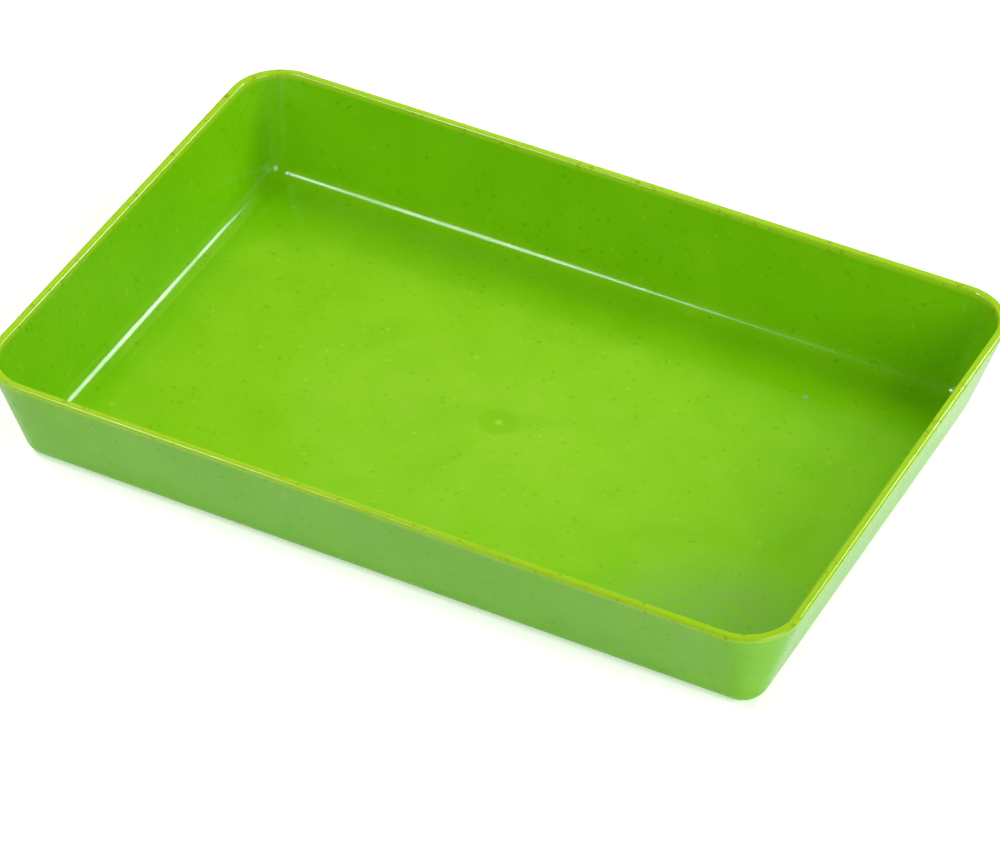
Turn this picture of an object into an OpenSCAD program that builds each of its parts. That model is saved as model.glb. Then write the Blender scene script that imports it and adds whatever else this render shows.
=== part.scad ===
// A shallow open tray, moulded in one piece from speckled plastic. The four walls lean outwards at one
// draft angle, so that trays nest, and the corners are cones: wide at the rim and tight at the floor.
// Origin: the centre of the base, on the resting face. +X runs along the length, +Z up. Millimetres.

/* [Overall] */
// Length over the rim
length = 240; // [140:5:400]
// Width over the rim
width = 160; // [100:5:300]
// Height from the resting face to the top of the rim
height = 32; // [20:1:60]
// Lean of the walls, in degrees from upright
draft_angle = 17.5; // [5:0.5:25]

/* [Wall and floor] */
// Wall thickness, measured square to the wall
wall_thickness = 2.5; // [1.8:0.1:4]
// Floor thickness
floor_thickness = 2.5; // [1.5:0.1:4]

/* [Roundings] */
// Rounding of the rim's inner and outer edges
rim_rounding = 0.8; // [0.3:0.1:1.2]
// Plan radius of the inside corners, where the walls would meet the floor without the fillet
floor_corner_radius = 4.2; // [3:0.2:12]
// Fillet between the floor and the walls, inside
floor_fillet = 5; // [1:0.25:6]
// Rounding between the base and the walls, outside
base_rounding = 5.5; // [2:0.25:6]

/* [Hidden] */
eps = 1;
plastic = [0.50, 0.75, 0.06];
$fn = 72;

// Run of the wall and of a tangent point for each unit of height or radius
lean = tan(draft_angle);
tangent = tan((90 - draft_angle) / 2);
along = [sin(draft_angle), cos(draft_angle)];
outward = [cos(draft_angle), -sin(draft_angle)];

// The fillet as cut: the inside corners limit it, and keep a small radius of their own on the floor
corner_left = 0.5;
fillet = min(floor_fillet, (floor_corner_radius - corner_left) / tangent);

// The section stands on the corner's axis: x runs outwards from it, y is height.
// Inside face of the wall where it would meet the floor, and outside face where it would meet the base
inner_foot = [floor_corner_radius, floor_thickness];
outer_foot = [floor_corner_radius + wall_thickness / cos(draft_angle) - floor_thickness * lean, 0];
fillet_centre = [inner_foot[0] - fillet * tangent, floor_thickness + fillet];
base_centre = [outer_foot[0] - base_rounding * tangent, base_rounding];

// Centres of the rim's two roundings, both at one height
rim_z = height - rim_rounding;
outer_rim = [outer_foot[0] + rim_z * lean - rim_rounding / cos(draft_angle), rim_z];
inner_rim = [outer_rim[0] - (wall_thickness - 2 * rim_rounding) / cos(draft_angle), rim_z];

// Corner radius over the rim, and the distances from the centre to the corners' axes
rim_corner_radius = outer_rim[0] + rim_rounding;
axis_x = length / 2 - rim_corner_radius;
axis_y = width / 2 - rim_corner_radius;

// Points where the walls' faces run into their roundings
base_tangent = base_centre + base_rounding * outward;
rim_outer_tangent = outer_rim + rim_rounding * outward;
rim_inner_tangent = inner_rim - rim_rounding * outward;
fillet_tangent = fillet_centre + fillet * outward;

module outside_outline() {
    polygon([
        [0, 0],
        [base_centre[0], 0],
        base_tangent,
        rim_outer_tangent,
        outer_rim,
        inner_rim,
        rim_inner_tangent,
        [0, rim_inner_tangent[1]]
    ]);
    intersection() {
        translate(base_centre) circle(r = base_rounding);
        square([rim_corner_radius, 2 * base_rounding]);
    }
}

module hollow_outline() {
    above = rim_inner_tangent + eps * along;
    polygon([
        [-eps, floor_thickness],
        [fillet_centre[0], floor_thickness],
        fillet_tangent,
        above,
        [-eps, above[1]]
    ]);
    translate(fillet_centre) circle(r = fillet);
}

module rim_outline() {
    translate(outer_rim) circle(r = rim_rounding);
    translate(inner_rim) circle(r = rim_rounding);
    translate(inner_rim) square([outer_rim[0] - inner_rim[0], rim_rounding]);
}

// Half of the floor and one wall, from the corner's axis outwards
module wall_section() {
    difference() {
        outside_outline();
        hollow_outline();
    }
    rim_outline();
}

module side(distance, run) {
    translate([distance, 0, 0])
        rotate([90, 0, 0])
            linear_extrude(height = run, center = true) wall_section();
}

module corner() {
    translate([axis_x, axis_y, 0])
        rotate_extrude(angle = 90) wall_section();
}

module half_tray() {
    side(axis_x, 2 * axis_y);
    rotate([0, 0, 90]) side(axis_y, 2 * axis_x);
    corner();
    mirror([0, 1, 0]) corner();
}

module tray() {
    color(plastic) {
        half_tray();
        mirror([1, 0, 0]) mirror([0, 1, 0]) half_tray();
        translate([-axis_x, -axis_y, 0]) cube([2 * axis_x, 2 * axis_y, floor_thickness]);
    }
}

tray();
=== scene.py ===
"""A speckled lime-green plastic tray on a white ground, under soft studio light. Lengths are in metres."""
import math

import bpy
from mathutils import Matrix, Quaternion, Vector


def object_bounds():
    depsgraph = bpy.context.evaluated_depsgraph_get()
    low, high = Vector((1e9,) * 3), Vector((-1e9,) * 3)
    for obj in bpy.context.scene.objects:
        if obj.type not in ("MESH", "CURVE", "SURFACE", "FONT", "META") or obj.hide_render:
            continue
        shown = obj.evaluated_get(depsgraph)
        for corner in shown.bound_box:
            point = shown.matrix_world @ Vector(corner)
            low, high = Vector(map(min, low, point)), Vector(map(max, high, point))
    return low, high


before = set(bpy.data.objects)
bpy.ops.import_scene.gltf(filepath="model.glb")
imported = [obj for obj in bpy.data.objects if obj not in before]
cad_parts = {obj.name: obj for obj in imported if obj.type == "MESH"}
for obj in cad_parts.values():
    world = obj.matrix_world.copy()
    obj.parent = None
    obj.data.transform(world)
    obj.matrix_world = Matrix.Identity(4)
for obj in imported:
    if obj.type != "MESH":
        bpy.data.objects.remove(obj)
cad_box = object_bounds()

MM = 0.001
# Heights of the rim's top and of the floor's upper face
TOP = cad_box[1][2]
FLOOR = 2.5 * MM

# The photograph's camera: a long lens, looking down over the tray's near right corner
AZIMUTH = 27.13
ELEVATION = 40.48
ROLL = 0.46
DISTANCE = 1.4855
LENS_MM = 194.9
SENSOR_MM = 36
AIM = Vector((0.0007, -0.0012, -0.0016))

# Linear colours
WHITE = (1, 1, 1, 1)
LIME_DEEP = (0.180, 0.540, 0.001, 1)
LIME_PALE = (0.206, 0.574, 0.002, 1)
# Painted highlight: the lighter, yellower lime of the rim's top band, where light catches it
RIM_HIGHLIGHT_LIME = (0.360, 0.650, 0.014, 1)
# Painted sheen: the pale grey-green of light caught by the scuffs in the floor's corner
SCUFF_AND_SHEEN = (0.235, 0.440, 0.120, 1)
DARK_FLECK = (0.075, 0.270, 0.002, 1)
BROWN_FLECK = (0.230, 0.170, 0.010, 1)
PALE_FLECK = (0.420, 0.740, 0.080, 1)
BLUISH_FLECK = (0.260, 0.480, 0.200, 1)
GROUND_WHITE = (0.92, 0.92, 0.92, 1)

# Sizes of the patterns in the plastic
COLOUR_CLOUD = 18 * MM
GLOSS_CLOUD = 12 * MM
FLECK = 2.4 * MM
SCRATCH = 1.6 * MM
TEXTURE = 0.6 * MM
TEXTURE_DEPTH = 0.003 * MM
# Scattered grains: their spacing, their radius, the share of places that holds one, and their strength
PALE_GRAINS = (6 * MM, 0.7 * MM, 0.5, 0.35)
DARK_GRAINS = (4.5 * MM, 0.8 * MM, 0.6, 0.4)
# The pale grains and the scratches are short fibres: how they are turned on the floor, and their stretch
FIBRE_TURN = math.radians(-27)
FIBRE_STRETCH = 2

# Marks on the floor: where each one is, and its reach along the axes. The gate mark's fades count in its
# reach, so in millimetres
GATE = (0.3 * MM, -1.2 * MM, FLOOR)
GATE_REACH = (MM, MM, 0.3 * MM)
BLUISH_SPOT = (70 * MM, 47.8 * MM, FLOOR)
BLUISH_REACH = (MM, MM, MM)
# The scuffed corner, over which a pale sheen is painted
SCUFF_SHEEN_CORNER = (92 * MM, -50 * MM, FLOOR)
SCUFF_SHEEN_REACH = (46 * MM, 36 * MM, 12 * MM)

# Fades, as fade() takes them: where it starts, where it is full, and the values at the two ends
CLOUD_COLOUR = (0.2, 0.8)
CLOUD_ROUGHNESS = (0.2, 0.8, 0.15, 0.18)
CLOUD_GLOSS = (0.3, 0.7, 0.34, 0.56)
# The rim's top band, which is painted lighter and yellower as a highlight, and which holds the brown flecks
RIM_EDGE = (TOP - 2.0 * MM, TOP - 0.8 * MM)
PALE_FLECKS = (0.36, 0.24, 0, 0.30)
DARK_FLECKS = (0.60, 0.78, 0, 0.40)
BROWN_FLECKS = (0.58, 0.72, 0, 0.35)
GATE_RING = (6.5, 4.0)
GATE_MIDDLE = (1.5, 0.4, 0, 0.5)
GATE_GLOSS = (6.5, 4.5, 1, 0.6)
BLUISH_EDGE = (1.0, 0.5)
SCRATCHES = (0.35, 0.65, 0.20, 0.55)
SCUFF_SHEEN_EDGE = (1.0, 0.3)
# These two go by how far up a face looks: the floor is 1, the inside walls 0.3, the outside walls -0.3
FLOOR_FACES = (0.3, 0.8)
OUTSIDE_GLOSS = (-0.4, -0.2, 0.7, 1)

# The ground: its glow in plain light and in gloss, and in the camera's view by distance from the tray
GROUND_SIZE = 12
GROUND_PLAIN = 0.22
GROUND_GLOSS = 0.1
GROUND_VIEW = (0.25, 0.7, 0.45, 1)
# The base's height above the ground, and how near the ground is clear, so that light reaches the base
GAP = 0.1 * MM
CLEAR_WITHIN = 8 * GAP

# The room by how far up a ray looks: dim above in plain light, and white walls under a dim ceiling in gloss
ROOM_PLAIN = (-0.05, 0.05, 0.6, 0.06)
ROOM_GLOSS = (0, 0.2, 1, 0.03)

# Softboxes: azimuth clockwise from +Y, elevation, distance, width, height, brightness, colour
SOFTBOXES = {
    "right": (108, 30, 0.8, 0.40, 0.40, 6.2, WHITE),
    "front_left": (-121, 29, 0.8, 0.30, 0.30, 2.8, WHITE),
    "back_right": (30, 39, 0.611, 0.16, 0.22, 15.5, WHITE),
    "front_high": (-128, 55, 0.619, 0.18, 0.18, 14.0, WHITE),
    "back_left": (-36, 31, 0.8, 0.40, 0.40, 1.1, (1, 1, 0.12, 1)),
    "back": (-20, 44, 0.35, 0.20, 0.08, 0.75, (1, 1, 0.35, 1)),
}


def feed(tree, socket, value):
    """Give a socket a value, or link it to another node's socket."""
    if isinstance(value, bpy.types.NodeSocket):
        tree.links.new(value, socket)
    else:
        socket.default_value = value


def add_node(tree, kind, inputs=None, **settings):
    node = tree.nodes.new("ShaderNode" + kind)
    for name, value in settings.items():
        setattr(node, name, value)
    for key, value in (inputs or {}).items():
        feed(tree, node.inputs[key], value)
    return node


def arithmetic(tree, operation, a, b):
    return add_node(tree, "Math", {0: a, 1: b}, operation=operation).outputs[0]


def product(tree, a, b):
    return arithmetic(tree, "MULTIPLY", a, b)


def upward(tree, direction):
    """How far up a direction looks, from -1 to 1; of a place, its height."""
    return add_node(tree, "SeparateXYZ", {0: direction}).outputs["Z"]


def fade(tree, value, start, end, low=0, high=1):
    """A smooth step from low at start to high at end."""
    inputs = {"Value": value, "From Min": start, "From Max": end, "To Min": low, "To Max": high}
    return add_node(tree, "MapRange", inputs, interpolation_type="SMOOTHSTEP").outputs[0]


def choose(tree, flag, where_off, where_on):
    return fade(tree, flag, 0, 1, where_off, where_on)


def mixed(tree, amount, a, b):
    """Colour a where amount is 0 and b where it is 1."""
    node = add_node(tree, "Mix", {"Factor": amount}, data_type="RGBA")
    a_colour, b_colour = node.inputs[6], node.inputs[7]
    feed(tree, a_colour, a)
    feed(tree, b_colour, b)
    return node.outputs[2]


def noise(tree, place, size, detail=2.0, roughness=0.5):
    inputs = {"Vector": place, "Scale": 1 / size, "Detail": detail, "Roughness": roughness}
    return add_node(tree, "TexNoise", inputs).outputs["Fac"]


def as_fibres(tree, place):
    """The place turned and squeezed along one direction, which draws a pattern out into fibres."""
    inputs = {"Vector": place, "Rotation": (0, 0, FIBRE_TURN), "Scale": (1 / FIBRE_STRETCH, 1, 1)}
    return add_node(tree, "Mapping", inputs, vector_type="POINT").outputs[0]


def spot(tree, place, centre, reach):
    """Distance from a centre, as a share of the reach along each axis."""
    offset = add_node(tree, "VectorMath", {0: place, 1: centre}, operation="SUBTRACT")
    share = add_node(tree, "VectorMath", {0: offset.outputs[0], 1: reach}, operation="DIVIDE")
    return add_node(tree, "VectorMath", {0: share.outputs[0]}, operation="LENGTH").outputs["Value"]


def grains(tree, place, spacing, radius, share, strength):
    """Grains of different sizes scattered through the plastic, each fading out to its edge."""
    cells = add_node(tree, "TexVoronoi", {"Vector": place, "Scale": 1 / spacing}, feature="F1")
    chance = add_node(tree, "SeparateColor", {"Color": cells.outputs["Color"]})
    kept = arithmetic(tree, "LESS_THAN", chance.outputs["Red"], share)
    reach = fade(tree, chance.outputs["Green"], 0, 1, 0.4 * radius / spacing, radius / spacing)
    inside = fade(tree, cells.outputs["Distance"], reach, product(tree, reach, 0.3))
    return product(tree, product(tree, inside, kept), strength)


def body_colour(tree, place, clouds):
    """Lime with its clouds and flecks; the rim's top band is painted lighter and yellower as a highlight,
    and brown flecks sit on it.
    """
    colour = mixed(tree, fade(tree, clouds, *CLOUD_COLOUR), LIME_DEEP, LIME_PALE)
    # Painted highlight: the top band of the rim turns lighter and yellower by height, as if lit
    rim = fade(tree, upward(tree, place), *RIM_EDGE)
    colour = mixed(tree, rim, colour, RIM_HIGHLIGHT_LIME)

    flecks = noise(tree, place, FLECK, 2.0, 0.6)
    brown = product(tree, fade(tree, flecks, *BROWN_FLECKS), rim)
    colour = mixed(tree, fade(tree, flecks, *PALE_FLECKS), colour, PALE_FLECK)
    colour = mixed(tree, fade(tree, flecks, *DARK_FLECKS), colour, DARK_FLECK)
    colour = mixed(tree, brown, colour, BROWN_FLECK)
    colour = mixed(tree, grains(tree, as_fibres(tree, place), *PALE_GRAINS), colour, PALE_FLECK)
    return mixed(tree, grains(tree, place, *DARK_GRAINS), colour, DARK_FLECK)


def floor_marks(tree, place, colour, gate, on_floor):
    """The gate mark at the floor's centre, one bluish fleck, and scuffs in a corner under a painted pale
    sheen.
    """
    colour = mixed(tree, fade(tree, gate, *GATE_RING), colour, LIME_DEEP)
    middle = product(tree, on_floor, fade(tree, gate, *GATE_MIDDLE))
    colour = mixed(tree, middle, colour, PALE_FLECK)
    bluish = spot(tree, place, BLUISH_SPOT, BLUISH_REACH)
    colour = mixed(tree, fade(tree, bluish, *BLUISH_EDGE), colour, BLUISH_FLECK)

    corner = spot(tree, place, SCUFF_SHEEN_CORNER, SCUFF_SHEEN_REACH)
    scratches = noise(tree, as_fibres(tree, place), SCRATCH, 4.0, 0.75)
    # Painted sheen: where the scratches run, the corner turns pale as if they caught the light
    scuffs_and_sheen = product(tree, fade(tree, scratches, *SCRATCHES), fade(tree, corner, *SCUFF_SHEEN_EDGE))
    return mixed(tree, product(tree, on_floor, scuffs_and_sheen), colour, SCUFF_AND_SHEEN)


def gloss_level(tree, place, gate, facing):
    """The clouded gloss, duller on the gate mark and on the outside."""
    gloss = fade(tree, noise(tree, place, GLOSS_CLOUD), *CLOUD_GLOSS)
    gloss = product(tree, gloss, fade(tree, gate, *GATE_GLOSS))
    return product(tree, gloss, fade(tree, facing, *OUTSIDE_GLOSS))


def add_plastic():
    material = bpy.data.materials.new("speckled_plastic")
    material.use_nodes = True
    tree = material.node_tree
    coordinates = add_node(tree, "TexCoord")
    place = coordinates.outputs["Object"]
    facing = upward(tree, coordinates.outputs["Normal"])
    clouds = noise(tree, place, COLOUR_CLOUD, 1.0)
    gate = spot(tree, place, GATE, GATE_REACH)
    on_floor = fade(tree, facing, *FLOOR_FACES)
    colour = floor_marks(tree, place, body_colour(tree, place, clouds), gate, on_floor)
    texture = noise(tree, place, TEXTURE, 0.0)
    bumps = add_node(tree, "Bump", {"Height": texture, "Distance": TEXTURE_DEPTH, "Strength": 1.0})

    shader = tree.nodes["Principled BSDF"].inputs
    feed(tree, shader["Base Color"], colour)
    feed(tree, shader["Roughness"], fade(tree, clouds, *CLOUD_ROUGHNESS))
    feed(tree, shader["Specular IOR Level"], gloss_level(tree, place, gate, facing))
    feed(tree, shader["Normal"], bumps.outputs[0])
    return material


def gloss_rays(tree, path):
    """1 for the rays that show the background by way of gloss or glass."""
    return arithmetic(tree, "MAXIMUM", path.outputs["Is Glossy Ray"], path.outputs["Is Transmission Ray"])


def ground_glow(tree, path):
    """A plain glow, and in the camera's view one that evens the ground out to white far from the tray."""
    place = add_node(tree, "TexCoord").outputs["Object"]
    distance = spot(tree, place, (0, 0, 0), (1, 1, 1))
    to_light = choose(tree, gloss_rays(tree, path), GROUND_PLAIN, GROUND_GLOSS)
    to_camera = fade(tree, distance, *GROUND_VIEW)
    strength = choose(tree, path.outputs["Is Camera Ray"], to_light, to_camera)
    return add_node(tree, "Emission", {"Color": WHITE, "Strength": strength})


def add_ground():
    """White from above, and clear from below, for the views and the light that reach the tray's base."""
    bpy.ops.mesh.primitive_plane_add(size=GROUND_SIZE, location=(0, 0, -GAP))
    ground = bpy.context.object
    ground.name = "ground"
    material = bpy.data.materials.new("white_ground")
    material.use_nodes = True
    material.cycles.emission_sampling = "NONE"
    tree = material.node_tree
    path = add_node(tree, "LightPath")
    diffuse = add_node(tree, "BsdfDiffuse", {"Color": GROUND_WHITE})
    glow = ground_glow(tree, path)
    white = add_node(tree, "AddShader", {0: diffuse.outputs[0], 1: glow.outputs[0]})
    clear = add_node(tree, "BsdfTransparent")
    from_below = add_node(tree, "NewGeometry").outputs["Backfacing"]
    near = arithmetic(tree, "LESS_THAN", path.outputs["Ray Length"], CLEAR_WITHIN)
    hidden = arithmetic(tree, "MAXIMUM", from_below, near)
    surface = add_node(tree, "MixShader", {0: hidden, 1: white.outputs[0], 2: clear.outputs[0]})
    feed(tree, tree.nodes["Material Output"].inputs["Surface"], surface.outputs[0])
    ground.data.materials.append(material)


def add_world():
    """White behind the tray, and a plain room in its light and in its gloss."""
    world = bpy.data.worlds.new("studio")
    world.use_nodes = True
    tree = world.node_tree
    path = add_node(tree, "LightPath")
    looking = upward(tree, add_node(tree, "TexCoord").outputs["Generated"])
    plain = fade(tree, looking, *ROOM_PLAIN)
    in_gloss = fade(tree, looking, *ROOM_GLOSS)
    room = choose(tree, gloss_rays(tree, path), plain, in_gloss)
    background = tree.nodes["Background"].inputs
    feed(tree, background["Color"], WHITE)
    feed(tree, background["Strength"], choose(tree, path.outputs["Is Camera Ray"], room, 1))
    bpy.context.scene.world = world


def add_softbox(name, azimuth, elevation, distance, width, height, brightness, colour):
    """A rectangular lamp aimed at the tray; its brightness is that of its face."""
    azimuth, elevation = math.radians(azimuth), math.radians(elevation)
    flat = distance * math.cos(elevation)
    data = bpy.data.lights.new(name, "AREA")
    data.shape = "RECTANGLE"
    data.size = width
    data.size_y = height
    data.energy = math.pi * width * height * brightness
    data.color = colour[:3]
    lamp = bpy.data.objects.new(name, data)
    lamp.location = (flat * math.sin(azimuth), flat * math.cos(azimuth), distance * math.sin(elevation))
    lamp.rotation_mode = "QUATERNION"
    lamp.rotation_quaternion = (-lamp.location).to_track_quat("-Z", "Y")
    bpy.context.scene.collection.objects.link(lamp)


def add_camera():
    azimuth, elevation = math.radians(AZIMUTH), math.radians(ELEVATION)
    flat = math.cos(elevation)
    back = Vector((math.sin(azimuth) * flat, -math.cos(azimuth) * flat, math.sin(elevation)))
    data = bpy.data.cameras.new("camera")
    data.lens = LENS_MM
    data.sensor_width = SENSOR_MM
    camera = bpy.data.objects.new("camera", data)
    camera.location = AIM + back * DISTANCE
    camera.rotation_mode = "QUATERNION"
    level = (-back).to_track_quat("-Z", "Y")
    camera.rotation_quaternion = level @ Quaternion((0, 0, 1), math.radians(ROLL))
    bpy.context.scene.collection.objects.link(camera)
    bpy.context.scene.camera = camera


add_camera()
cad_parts["tray"].data.materials[0] = add_plastic()
add_ground()
add_world()
for box_name, box in SOFTBOXES.items():
    add_softbox(box_name, *box)
bpy.context.scene.view_settings.view_transform = "Standard"
